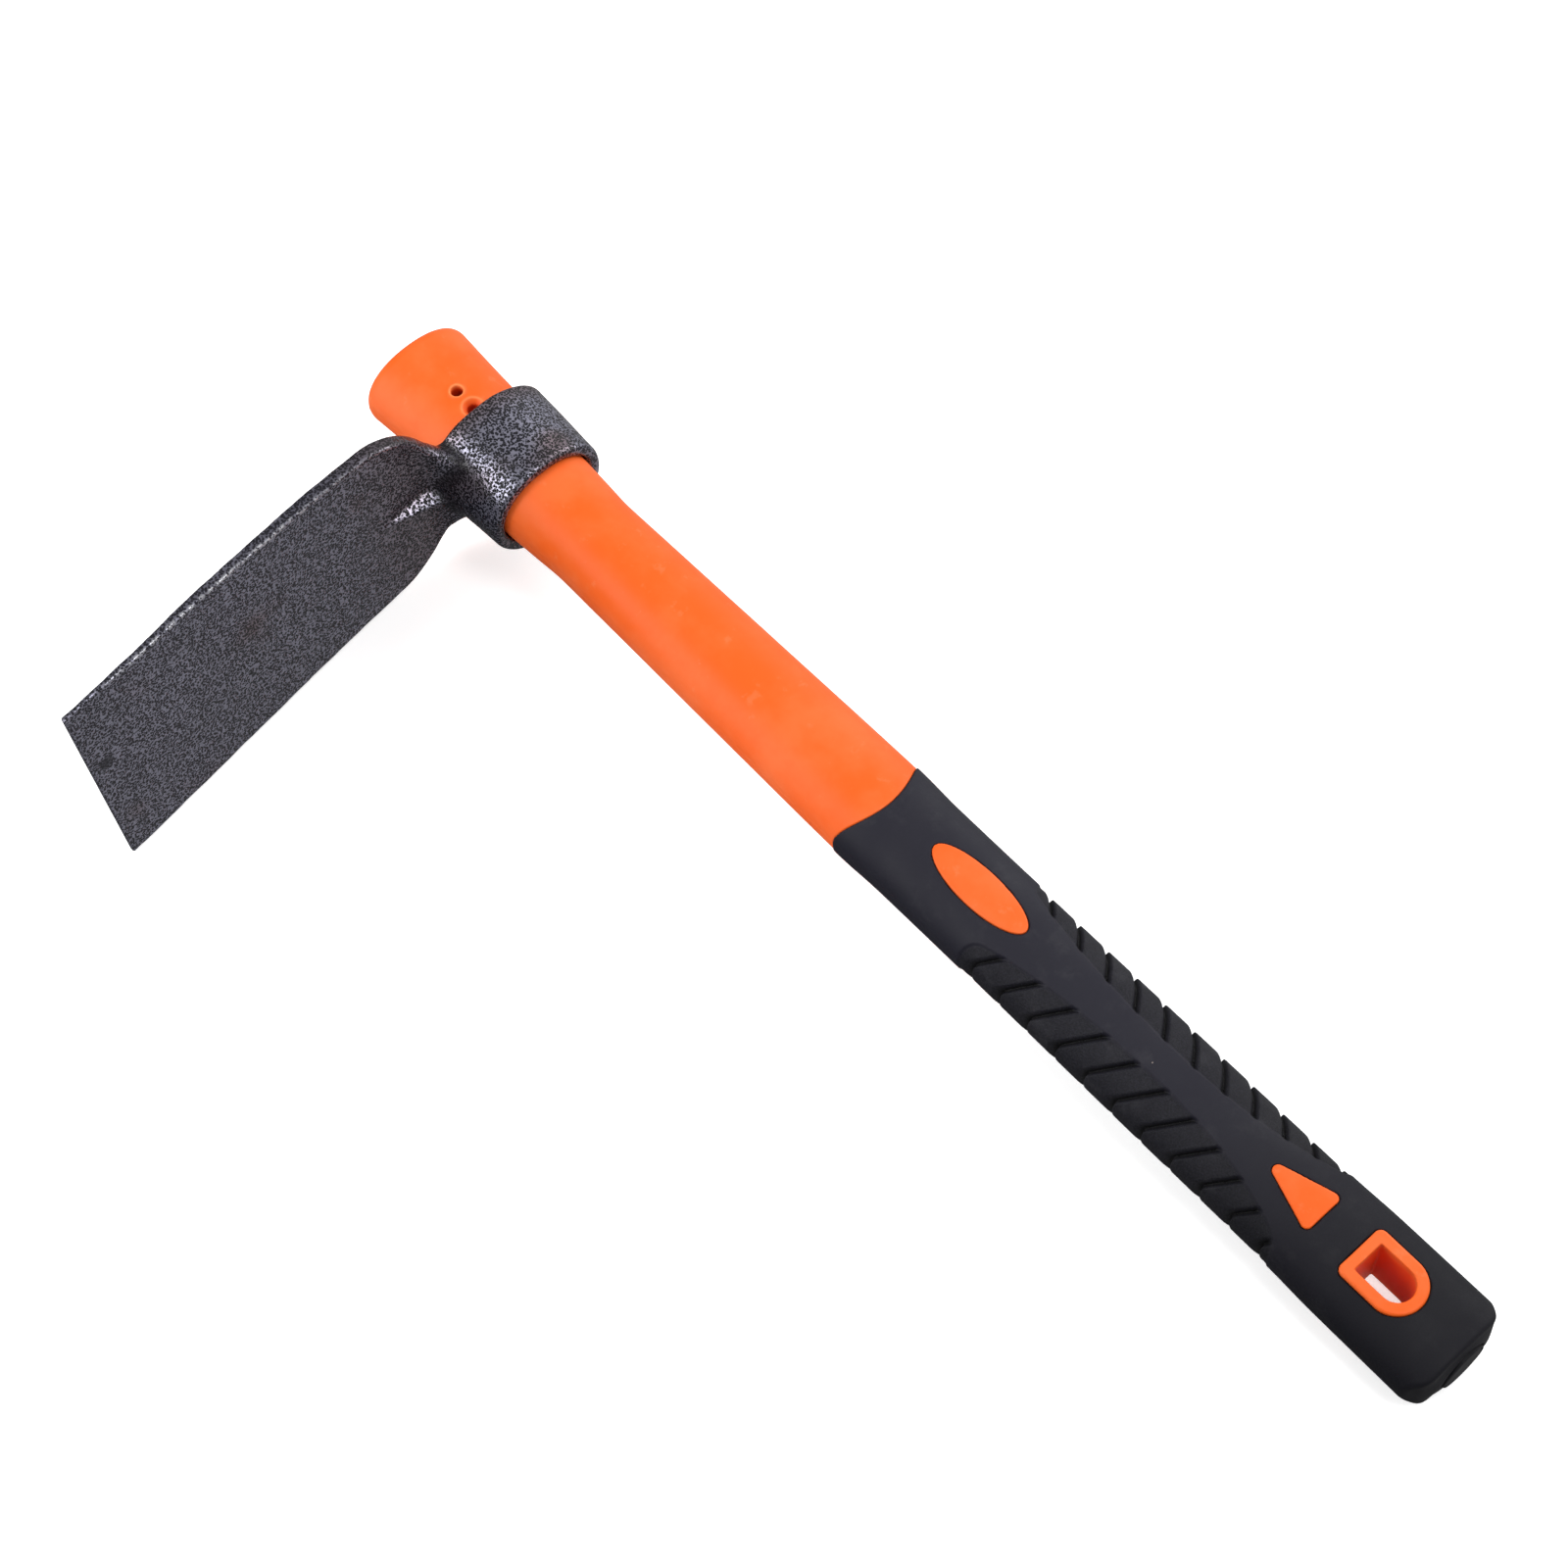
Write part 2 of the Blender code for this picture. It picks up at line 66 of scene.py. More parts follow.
# ---------------------------------------------------------------- sizes in millimetres
STEP = 0.46   # grid the surfaces are meshed on
SEAM = 0.12                          # hair line between rubber and plastic

# Handle: (x, half width in y, half thickness in z, squareness of the oval)
TOP_X = HANDLE_LOW[0]
BUTT_X = GRIP_HIGH[0]
JACKET_END_X = HANDLE_HIGH[0]
JACKET_STATIONS = (
    (TOP_X, 17.7, 13.8, 2.15), (27.6, 16.0, 13.4, 2.15), (61.0, 14.9, 12.8, 2.15),
    (70.6, 14.3, 12.5, 2.20), (81.6, 13.6, 12.4, 2.25), (96.6, 13.8, 12.3, 2.30),
    (141.6, 14.5, 12.1, 2.30), (190.0, 15.1, 12.0, 2.35), (206.6, 15.2, 11.9, 2.35),
)
GRIP_STATIONS = (
    (186.0, 15.4, 12.1, 2.35), (196.6, 15.5, 12.1, 2.35), (211.6, 15.0, 11.8, 2.35),
    (236.6, 14.9, 11.7, 2.35), (306.6, 15.1, 11.8, 2.40), (350.6, 15.2, 11.8, 2.40),
    (366.6, 15.7, 11.2, 2.45), (BUTT_X, 15.9, 11.0, 2.45),
)
TOP_ROUNDING = 3.84
RUBBER = 3.0                                       # thickness of the rubber over the jacket
GRIP_X = GRIP_LOW[0] - 0.2                         # where the grip's front edge meets the handle's sides
TONGUE, TONGUE_HALF_WIDTH = 6.3, 15.6              # how much further on it lies in the middle
BUTT_CHAMFER, BUTT_CHAMFER_ROUNDING = 4.2, 1.0     # the butt's corners
BUTT_RIM, BUTT_RIM_ROUNDING = 0.7, 1.6             # how far the butt's rim lies short of its middle
BUTT_DOME, DOME_FOOT, DOME_TOP, DOME_ASPECT = 1.1, 14.0, 7.0, 1.35
JACKET_STEM_BORE, GRIP_STEM_BORE = 3.2, 3.3        # radii of the clear way for the plug's stem
CORE_GAP, PLUG_GAP, PLUG_SEAT = 0.2, 0.15, 2.0     # round the core and the plug, and under the plug
EDGE = 0.35                                        # rounding of the small moulded edges

PAD_PROUD = 0.3                                    # how far the ellipse and the triangle stand out
ELLIPSE = (234.5, 16.8, 5.4)                       # centre x, half length, half width
TRIANGLE = (333.7, 354.2, 6.6, 1.6)                # apex x, base x, half base, corner
EYELET = (365.2, 20.3, 7.9, 2.0)                   # low x, length, half width, corner
EYELET_FACE, EYELET_WALL, EYELET_HOLE_CORNER, EYELET_EDGE = 11.3, 3.2, 0.4, 0.9
PILOT_HOLE = (23.2, 1.75)                          # x, radius
PILOT_RIM = (2.3, 0.5, 0.26)                       # the raised rim round it: radius, width, height
SCREW_HOLE = (30.3, 1.75, 3.2, 1.6)                # x, radius, countersink's radius and depth
CONE_SCALE = 0.7                                   # makes the countersink's field a distance
SCREW_FLOOR = 8.0
PARTING_RIDGE, PARTING_WIDTH = 0.1, 0.45           # where the mould's halves met

# Grooves and recessed panels on the grip's sides. A groove's x changes by GROOVE_SLANT for each mm of |y|
# and of |z|, but not with z between -GROOVE_LEVEL and GROOVE_LEVEL.
GROOVES, GROOVE_X, GROOVE_PITCH, GROOVE_SLANT, GROOVE_LEVEL = 11, 253.2, 10.15, (-0.636, 0.487), 3.3
GROOVE_DEPTH, GROOVE_LEAD, GROOVE_TRAIL = 1.8, 1.7, 1.1   # LEAD and TRAIL are the widths of its two walls
PANEL, PANEL_CORNER = (241.5, 351.5), 5.0
PANEL_DEPTH = 0.4
WAIST_X, WAIST_HALF_WIDTH, SPINE_SPREAD, SPINE_POWER = 302.0, 4.2, 4.5, 2.3
SPINE_REACH = (52.0, 38.0)                         # it is SPINE_SPREAD wider this far before and after

# Head. The ovals are (half width in y, half thickness in z) at the eye's top and at its foot.
EYE_TOP, EYE_FOOT = 33.4, 61.1
EYE_OUTSIDE = ((20.3, 17.9), (18.9, 16.5))
EYE_INSIDE = ((16.1, 13.8), (15.4, 13.1))
EYE_SQUARENESS = 2.15
EYE_OUTER_EDGE, EYE_INNER_EDGE, NECK_FILLET = 1.6, 1.5, 2.2
BLADE_TIP_Y, BLADE_TIP_X, BLADE_LEAN = HEAD_LOW[1], 47.1, 0.106
# Blade and neck: y, half width, how far they reach behind and before the face's plane, and the rounding of
# the long edges
BLADE_STATIONS = (
    (-146.4, 37.8, 1.2, 0.7, 0.45), (-143.0, 37.8, 1.1, 0.6, 0.5), (-120.0, 37.1, 1.9, 0.4, 0.6),
    (-100.0, 36.8, 2.9, 0.0, 0.6), (-80.0, 36.0, 3.5, -0.1, 0.6), (-60.0, 35.0, 3.8, 0.0, 0.7),
    (-44.0, 34.1, 3.6, 0.4, 0.7), (-38.0, 33.5, 3.5, 0.6, 0.8), (-34.0, 32.5, 3.4, 0.9, 0.9),
    (-31.0, 31.0, 3.3, 1.2, 1.1), (-28.0, 29.3, 3.2, 1.4, 1.4), (-25.0, 27.0, 3.2, 1.8, 1.9),
    (-22.0, 23.3, 3.2, 3.4, 3.0), (-19.0, 19.0, 2.6, 6.6, 4.4), (-15.0, 14.0, 0.6, 11.0, 5.0),
    (-11.0, 10.0, -1.4, 13.8, 5.0),
)
# The rib's height over the face's plane at each y, its flanks' slope, and its crest's and foot's rounding
RIB_STATIONS = (
    (-42.0, -0.6), (-40.5, 0.5), (-38.0, 1.5), (-33.0, 3.3), (-28.0, 5.0), (-23.0, 7.0), (-17.0, 10.5),
)
RIB_SLOPE, RIB_CREST, RIB_FOOT = 1.9, 0.45, 0.7
STAIN = (-141.5, 8.3, 4.2)                         # a dark spot near the tip: y, z, radius


# ---------------------------------------------------------------- distance fields
def join(a, b, radius=0.001):
    """Union, with a fillet in the corner."""
    overlap = np.maximum(radius - np.abs(a - b), 0.0)
    return np.minimum(a, b) - overlap * overlap / (4 * radius)


def common(a, b, radius=0.001):
    """Intersection, with a rounded edge."""
    return -join(-a, -b, radius)


def cut(a, b, radius=0.001):
    """a without b, with a rounded edge."""
    return -join(-a, b, radius)


def smooth(low, high, value):
    """0 below low, 1 above high, eased in between."""
    t = np.clip((value - low) / (high - low), 0.0, 1.0)
    return t * t * (3 - 2 * t)


def through(stations, x):
    """The stations' values at x, on smooth curves that don't overshoot."""
    table = np.array(stations, float)
    places, values = table[:, 0], table[:, 1:]
    gaps = np.diff(places)
    slopes = np.diff(values, axis=0) / gaps[:, None]
    product = slopes[:-1] * slopes[1:]
    total = np.where(slopes[:-1] + slopes[1:] == 0, 1.0, slopes[:-1] + slopes[1:])
    inner = np.where(product > 0, 2 * product / total, 0.0)
    tangents = np.vstack([slopes[:1], inner, slopes[-1:]])
    x = np.clip(x, places[0], places[-1])
    i = np.clip(np.searchsorted(places, x, side="right") - 1, 0, len(gaps) - 1)
    t = (x - places[i]) / gaps[i]
    results = []
    for k in range(values.shape[1]):
        low, high, span = values[i, k], values[i + 1, k], gaps[i]
        results.append(
            (1 + 2 * t) * (1 - t) ** 2 * low + t * t * (3 - 2 * t) * high
            + span * t * (1 - t) * ((1 - t) * tangents[i, k] - t * tangents[i + 1, k])
        )
    return results


def oval(u, v, half_u, half_v, squareness):
    """A superellipse. Exact on its outline, and close to a distance near it."""
    a, b = np.abs(u) / half_u, np.abs(v) / half_v
    reach = np.maximum((a ** squareness + b ** squareness) ** (1 / squareness), 0.02)
    slope = np.hypot(a ** (squareness - 1) / half_u, b ** (squareness - 1) / half_v)
    least = 0.2 / np.maximum(half_u, half_v) * reach
    return (reach - 1) * reach ** (squareness - 1) / np.maximum(slope, least)


def tube(stations, x, y, z):
    half_width, half_thickness, squareness = through(stations, x)
    return oval(y, z, half_width, half_thickness, squareness)


def rounded_polygon(x, y, corners, radius):
    """Exact distance to a convex polygon, listed anticlockwise, whose corners are rounded."""
    points = np.array(corners, float)
    sides = np.roll(points, -1, axis=0) - points
    lengths = np.hypot(*sides.T)
    normals = np.stack([sides[:, 1], -sides[:, 0]], axis=1) / lengths[:, None]
    offsets = (normals * points).sum(axis=1) - radius
    inner = []
    for i in range(len(points)):
        both = np.array([normals[i - 1], normals[i]])
        inner.append(np.linalg.solve(both, [offsets[i - 1], offsets[i]]))
    inside, nearest = None, None
    for i, (px, py) in enumerate(inner):
        qx, qy = inner[(i + 1) % len(inner)]
        plane = normals[i, 0] * x + normals[i, 1] * y - offsets[i]
        along = ((x - px) * (qx - px) + (y - py) * (qy - py)) / ((qx - px) ** 2 + (qy - py) ** 2)
        share = np.clip(along, 0, 1)
        away = np.hypot(x - px - share * (qx - px), y - py - share * (qy - py))
        inside = plane if inside is None else np.maximum(inside, plane)
        nearest = away if nearest is None else np.minimum(nearest, away)
    return np.where(inside > 0, nearest, inside) - radius


def ellipse_outline(x, y, grow=0.0):
    middle, half_length, half_width = ELLIPSE
    return oval(x - middle, y, half_length + grow, half_width + grow, 2.0)


def triangle_outline(x, y, grow=0.0):
    apex, base, half_base, corner = TRIANGLE
    return rounded_polygon(x, y, [(apex, 0), (base, -half_base), (base, half_base)], corner) - grow


def eyelet_outline(x, y, grow=0.0, corner=EYELET[3]):
    """A D with its straight side towards the head."""
    low, length, half_width, _ = EYELET
    low, half_width = low - grow, half_width + grow
    bow_x = low + length + 2 * grow - half_width
    across, along = np.abs(y) - (half_width - corner), (low + corner) - x
    beyond = np.hypot(np.maximum(across, 0), np.maximum(along, 0))
    square = np.minimum(np.maximum(across, along), 0) + beyond - corner
    return np.where(x > bow_x, np.hypot(x - bow_x, y) - half_width, square)


def front_edge(x, y):
    """Positive on the rubber's side of the curved line where the grip starts."""
    share = y / TONGUE_HALF_WIDTH
    steep = 2 * TONGUE * np.abs(share) / TONGUE_HALF_WIDTH
    return (x - GRIP_X - TONGUE * (1 - share * share)) / np.sqrt(1 + steep * steep)


def sway(x, y, z, size):
    """Slow unevenness of about one unit, repeating nowhere within a piece. size is its rough wavelength."""
    k = math.tau / size
    return (
        np.sin(k * (x + 0.37 * y + 0.21 * z) + 1.3) + np.sin(k * 1.31 * (y - 0.43 * z + 0.11 * x) + 4.1)
        + np.sin(k * 0.87 * (z + 0.29 * x - 0.33 * y) + 2.2)
    ) / 3


# ---------------------------------------------------------------- pieces
def jacket(x, y, z):
    """The orange moulding."""
    parting = PARTING_RIDGE * np.exp(-(z / PARTING_WIDTH) ** 2)
    body = common(tube(JACKET_STATIONS, x, y, z) - parting, TOP_X - x, TOP_ROUNDING)
    body = common(body, front_edge(x, y) + SEAM / 2, 0.3)
    skin = tube(GRIP_STATIONS, x, y, z)
    tang = common(skin + RUBBER + SEAM, np.maximum(GRIP_STATIONS[0][0] - x, x - JACKET_END_X), 0.6)
    solid = join(body, tang)
    for outline in (ellipse_outline(x, y), triangle_outline(x, y)):
        solid = join(solid, common(outline, skin - PAD_PROUD, EDGE))
    solid = join(solid, common(eyelet_outline(x, y), np.abs(z) - EYELET_FACE, EYELET_EDGE))
    solid = cut(solid, eyelet_outline(x, y, -EYELET_WALL, EYELET_HOLE_CORNER), EDGE)
    axis = np.hypot(y, z)
    solid = cut(solid, common(axis - CORE_HIGH[2] - CORE_GAP, x - CORE_HIGH[0] - CORE_GAP), 0.4)
    solid = cut(solid, common(axis - JACKET_STEM_BORE, PLUG_LOW[0] - CORE_GAP - x))
    hole_x, radius = PILOT_HOLE
    rim_radius, rim_width, rim_height = PILOT_RIM
    around = np.hypot(x - hole_x, y)
    solid = solid - rim_height * np.exp(-((around - rim_radius) / rim_width) ** 2) * (z > 0)
    solid = cut(solid, common(around - radius, SCREW_FLOOR - z), EDGE)
    hole_x, radius, wide, deep = SCREW_HOLE
    around = np.hypot(x - hole_x, y)
    cone = (around - wide - (z - through(JACKET_STATIONS, x)[1]) * (wide - radius) / deep) * CONE_SCALE
    solid = cut(solid, common(cone, -z), 0.3)
    return cut(solid, common(around - radius, SCREW_FLOOR - z), 0.2)


def outside_panels(x, y):
    """Distance to the recessed panels on the grip's sides."""
    before, after = SPINE_REACH
    away = np.where(x < WAIST_X, (WAIST_X - x) / before, (x - WAIST_X) / after)
    spine = WAIST_HALF_WIDTH + SPINE_SPREAD * away ** SPINE_POWER
    return common(common(spine - np.abs(y), PANEL[0] - x, PANEL_CORNER), x - PANEL[1], PANEL_CORNER)


def groove_depth(x, y, z):
    """1 along the bottoms of the slanted grooves, 0 between them."""
    across, up = GROOVE_SLANT
    height = np.hypot(np.maximum(np.abs(z) - GROOVE_LEVEL, 0.0), 0.5) - 0.5 + GROOVE_LEVEL
    turn = (x - GROOVE_X - across * np.abs(y) - up * height) / GROOVE_PITCH
    off = (turn - np.clip(np.round(turn), 0, GROOVES - 1)) * GROOVE_PITCH / math.hypot(1.0, across)
    near = np.clip(np.where(off < 0, 1 + off / GROOVE_LEAD, 1 - off / GROOVE_TRAIL), 0, 1)
    return near * near * (1.6 - 0.6 * near) * smooth(-0.2, 0.8, -outside_panels(x, y))


def relief(x, y, z):
    """How far the grip's surface sinks below its plain oval."""
    return smooth(0.0, 0.6, -outside_panels(x, y)) * PANEL_DEPTH + groove_depth(x, y, z) * GROOVE_DEPTH


def grip(x, y, z):
    """The rubber sleeve."""
    plain = tube(GRIP_STATIONS, x, y, z)
    rim_x = BUTT_X - BUTT_RIM
    chamfer = (np.abs(y) - GRIP_STATIONS[-1][1] + x - rim_x + BUTT_CHAMFER) * math.sqrt(0.5)
    dome = x - rim_x - BUTT_DOME * smooth(DOME_FOOT, DOME_TOP, np.hypot(y, z * DOME_ASPECT))
    solid = common(plain + relief(x, y, z), chamfer, BUTT_CHAMFER_ROUNDING)
    solid = common(solid, dome, BUTT_RIM_ROUNDING)
    solid = common(solid, SEAM / 2 - front_edge(x, y), EDGE)
    solid = cut(solid, common(plain + RUBBER, x - JACKET_END_X - SEAM))
    for outline in (ellipse_outline(x, y, SEAM), triangle_outline(x, y, SEAM)):
        solid = cut(solid, outline, EDGE)
    solid = cut(solid, eyelet_outline(x, y, SEAM, EYELET[3] + SEAM), EDGE)
    axis = np.hypot(y, z)
    solid = cut(solid, common(axis - GRIP_STEM_BORE, PLUG_LOW[0] - x))
    return cut(solid, common(axis - PLUG_HIGH[2] - PLUG_GAP, PLUG_HIGH[0] - PLUG_SEAT - x), 0.4)


def jacket_marks(x, y, z):
    """Where painted shade goes deep in a drilled hole and deep in the eyelet, and where a painted highlight
    goes on a drilled hole's rim.
    """
    skin = np.where(x < GRIP_LOW[0], tube(JACKET_STATIONS, x, y, z), tube(GRIP_STATIONS, x, y, z))
    pilot, screw = np.hypot(x - PILOT_HOLE[0], y), np.hypot(x - SCREW_HOLE[0], y)
    # Painted highlight: pale rings on the raised rims round the pilot hole and round the countersink.
    rim_highlights = np.exp(-((pilot - 2.0) / 0.35) ** 2) + 0.8 * np.exp(-((screw - SCREW_HOLE[2]) / 0.35) ** 2)
    return {
        # Painted shade deep in the drilled holes and deep in the eyelet.
        "drilled": smooth(0.3, 2.5, -skin) * (np.minimum(pilot, screw) < 3.5),
        "hollow": smooth(0.6, 3.0, -skin) * (x > GRIP_LOW[0]),
        "rim": rim_highlights * (z > 0) * smooth(-1.6, -0.4, skin),
    }


def grip_marks(x, y, z):
    """Where the rubber is stippled, where painted shade darkens a groove's deep part, and where the rubber
    is painted darker, as shade, and made less shiny towards the butt.
    """
    return {
        "panel": smooth(0.0, 1.0, -outside_panels(x, y)),
        # Painted shade in the grooves.
        "groove": groove_depth(x, y, z),
        # Painted shade, and less shine, towards the butt.
        "butt_shade_and_dull": smooth(290.0, 390.0, x),
    }


def blade_face(y):
    """x of the blade's face, the one towards the grip."""
    return BLADE_TIP_X - BLADE_LEAN * (y - BLADE_TIP_Y)


def eye_oval(ends, x, y, z):
    """The eye's outside or inside, which narrows evenly from its top to its foot."""
    share = (x - EYE_TOP) / (EYE_FOOT - EYE_TOP)
    wide, thick = (ends[0][k] + (ends[1][k] - ends[0][k]) * share for k in (0, 1))
    return oval(y, z, wide, thick, EYE_SQUARENESS)


def eye(x, y, z):
    """The forging's ring, before it is hollowed."""
    outside = eye_oval(EYE_OUTSIDE, x, y, z) + 0.10 * sway(x, y, z, 21.0)
    ends = np.maximum(EYE_TOP - x, x - EYE_FOOT) + 0.12 * sway(x, y, z, 17.0)
    return common(outside, ends, EYE_OUTER_EDGE)


def blade(x, y, z):
    """The plate, with the neck that thickens into the eye and the rib in front of it."""
    half_width, behind, before, rounding = through(BLADE_STATIONS, y)
    step = 0.5
    wider, _, further, _ = through(BLADE_STATIONS, y + step)
    uneven = 0.10 * sway(x, y, z, 31.0)
    face = x - blade_face(y)
    front = (face - before) / np.hypot(1.0, (further - before) / step) + uneven
    back = -behind - face + uneven
    sides = (np.abs(z) - half_width) / np.hypot(1.0, (wider - half_width) / step)
    sides = sides + 0.2 * sway(x, y, z, 13.0)
    ridge = through(RIB_STATIONS, y)[0] - RIB_SLOPE * (np.hypot(z, RIB_CREST) - RIB_CREST)
    rib = (face - ridge) / math.hypot(1.0, RIB_SLOPE)
    front = join(front, np.maximum(rib, RIB_STATIONS[0][0] - y), RIB_FOOT)
    plate = common(common(front, back, 0.5), common(sides, BLADE_TIP_Y - y, 0.6), rounding)
    return common(plate, y - BLADE_STATIONS[-1][0])


def head(x, y, z):
    """The whole forging."""
    solid = join(eye(x, y, z), blade(x, y, z), NECK_FILLET)
    return cut(solid, eye_oval(EYE_INSIDE, x, y, z), EYE_INNER_EDGE)


def head_marks(x, y, z):
    """Where painted shade darkens and tints the neck, where painted shade darkens the crease round the eye,
    the blade's side edges and the eye's lower flank, where a painted highlight runs along the blade's near
    long edge, and where the blade is stained.
    """
    half_width, _, before, _ = through(BLADE_STATIONS, y)
    depth = x - blade_face(y) - before
    # Painted shade: the crease between the eye and the blade, the blade's side edges and the eye's lower
    # flank are darkened.
    valley = smooth(3.4, 0.6, np.abs(eye(x, y, z) - blade(x, y, z))) * (x > EYE_TOP) * (y < 0)
    side = smooth(-1.0, -0.2, np.abs(z) - half_width) * smooth(-0.2, -0.9, depth) * smooth(-14.0, -24.0, y)
    flank = smooth(9.5, 5.0, z) * smooth(-4.0, -10.0, y) * smooth(1.0, 0.3, np.abs(eye(x, y, z)))
    # Painted highlight: a bright line along the corner between the front face and the +z long edge.
    corner = smooth(1.3, 0.3, np.hypot(z - half_width, depth))
    stain_y, stain_z, radius = STAIN
    return {
        # Painted shade: a darker, warmer tint over the neck and the blade's root.
        "neck_shade": smooth(-60.0, -24.0, y) * smooth(42.0, 33.5, x),
        # Painted shade in the crease, on the blade's side edges and on the eye's lower flank.
        "painted_shade": np.maximum(np.maximum(valley, 0.7 * side), 0.7 * flank),
        # Painted highlight along the blade's near long edge.
        "corner": corner * smooth(-138.0, -118.0, y) * smooth(-20.0, -70.0, y),
        "stain": smooth(radius, 0.3 * radius, np.hypot(y - stain_y, z - stain_z)),
    }


# ---------------------------------------------------------------- meshing
def gradient(field, points):
    """Slope of the field at each point."""
    reach = 0.04
    result = np.empty_like(points)
    for axis in range(3):
        offset = np.zeros(3)
        offset[axis] = reach
        ahead, behind = points + offset, points - offset
        result[:, axis] = (field(*ahead.T) - field(*behind.T)) / (2 * reach)
    return result


def surface_net(values, axes):
    """One point for each cell that the surface crosses, and one quad for each grid edge that it crosses."""
    cells = np.array(values.shape) - 1
    sums, count = np.zeros((cells.prod(), 3)), np.zeros(cells.prod())
    quads = []
    for axis in range(3):
        near, far = [slice(None)] * 3, [slice(None)] * 3
        near[axis], far[axis] = slice(None, -1), slice(1, None)
        a, b = values[tuple(near)], values[tuple(far)]
        crossing = np.argwhere((a < 0) != (b < 0))
        start, end = a[tuple(crossing.T)], b[tuple(crossing.T)]
        point = crossing.astype(float)
        point[:, axis] += start / (start - end)
        around = []
        for du, dv in ((0, 0), (1, 0), (1, 1), (0, 1)):
            cell = crossing.copy()
            cell[:, (axis + 1) % 3] -= du
            cell[:, (axis + 2) % 3] -= dv
            flat = np.ravel_multi_index(cell.T, cells)
            around.append(flat)
            count += np.bincount(flat, minlength=len(count))
            for k in range(3):
                sums[:, k] += np.bincount(flat, weights=point[:, k], minlength=len(count))
        quad = np.stack(around, axis=1)
        quads.append(np.where((start < 0)[:, None], quad, quad[:, ::-1]))
    used = np.flatnonzero(count)
    renumber = np.zeros(len(count), int)
    renumber[used] = np.arange(len(used))
    places = sums[used] / count[used][:, None]
    points = np.stack([np.interp(places[:, k], np.arange(len(axes[k])), axes[k]) for k in range(3)], axis=1)
    return points, renumber[np.concatenate(quads)]


def settle(field, points, limit):
    """Moves the points onto the surface and returns them with their normals."""
    slope = gradient(field, points)
    length = np.maximum(np.linalg.norm(slope, axis=1), 0.3)
    normal = slope / length[:, None]
    move = np.clip(field(*points.T) / length, -limit, limit)
    return points - normal * move[:, None], normal


def evened(points, quads):
    """Each point moved half way to the middle of its neighbours."""
    ends = np.concatenate([quads[:, [i, (i + 1) % 4]] for i in range(4)])
    count = np.bincount(ends[:, 0], minlength=len(points)) + np.bincount(ends[:, 1], minlength=len(points))
    middle = np.empty_like(points)
    for k in range(3):
        total = np.bincount(ends[:, 0], weights=points[ends[:, 1], k], minlength=len(points))
        total += np.bincount(ends[:, 1], weights=points[ends[:, 0], k], minlength=len(points))
        middle[:, k] = total / count
    return (points + middle) / 2


def add_field(name, field, low, high, marks, step=STEP):
    """An object whose surface is where the field is zero, within the given box.

    marks gives named values to its points, for its material.
    """
    axes = [np.arange(low[k] - 2.5 * step, high[k] + 3.5 * step, step) for k in range(3)]
    x, y, z = np.ix_(*axes)
    values = np.broadcast_to(field(x, y, z), [len(a) for a in axes])
    points, quads = surface_net(values, axes)
    for _ in range(3):
        points, normals = settle(field, evened(points, quads), step)
    for _ in range(2):
        points, normals = settle(field, points, step / 2)
    obj = add_object(name, points, quads, normals)
    for key, values in marks(*points.T).items():
        attribute = obj.data.attributes.new(key, "FLOAT", "POINT")
        attribute.data.foreach_set("value", np.asarray(values, np.float32))
    return obj


def link_object(name, mesh):
    obj = bpy.data.objects.new(name, mesh)
    bpy.context.scene.collection.objects.link(obj)
    return obj


def add_object(name, points, faces, normals):
    mesh = bpy.data.meshes.new(name)
    mesh.from_pydata((points * MM).tolist(), [], faces.tolist())
    mesh.shade_smooth()
    mesh.normals_split_custom_set_from_vertices(normals.tolist())
    return link_object(name, mesh)


def add_turned(name, profile, segments=96):
    """A round piece about the handle's axis. The profile holds (x, radius) in millimetres, end to end."""
    bm = bmesh.new()
    rings = []
    for x, radius in profile:
        ring = []
        for i in range(segments):
            angle = math.tau * i / segments
            point = Vector((x, radius * math.cos(angle), radius * math.sin(angle)))
            ring.append(bm.verts.new(point * MM))
        rings.append(ring)
    for near, far in zip(rings, rings[1:]):
        for i in range(segments):
            j = (i + 1) % segments
            bm.faces.new((near[i], near[j], far[j], far[i]))
    bm.faces.new(rings[0])
    bm.faces.new(rings[-1])
    bmesh.ops.recalc_face_normals(bm, faces=bm.faces)
    mesh = bpy.data.meshes.new(name)
    bm.to_mesh(mesh)
    bm.free()
    mesh.shade_smooth()
    mesh.set_sharp_from_angle(angle=math.radians(40))
    return link_object(name, mesh)


def rolled(x, radius, roll, towards, count=5):
    """Profile points of a rounded rim that ends at x."""
    points = []
    for i in range(count + 1):
        angle = math.pi / 2 * i / count
        points.append((x - towards * roll * (1 - math.sin(angle)), radius - roll * (1 - math.cos(angle))))
    return points


def add_core():
    """The glass-fibre rod, with a slightly dished, sawn end."""
    radius = CORE_HIGH[2]
    low, high = CORE_LOW[0], CORE_HIGH[0]
    dish = [(low + 0.25 * (1 - (r / 6.5) ** 2), r) for r in (0.6, 1.5, 2.5, 3.5, 4.5, 5.5, 6.3)]
    rim = rolled(low, radius, 0.25, -1)[::-1]
    side = [(low + (high - low) * i / 30, radius) for i in range(1, 30)]
    return add_turned("fibreglass_core_rod", dish + rim + side + [(high, radius)])


def add_plug():
    """The cap in the middle of the butt: a low disc with a rounded rim, and a stem."""
    radius, face = PLUG_HIGH[2], PLUG_HIGH[0]
    back = face - 1.7
    stem = [(PLUG_LOW[0], 2.6), (PLUG_LOW[0] + 0.4, 3.0), (back, 3.0)]
    under = [(back, radius - 0.3), (back + 0.3, radius)]
    rim = rolled(face, radius, 0.45, 1)[::-1]
    top = [(face, r) for r in (5.6, 4.2, 2.8, 1.4, 0.4)]
    return add_turned("butt_plug_cap", stem + under + rim + top)


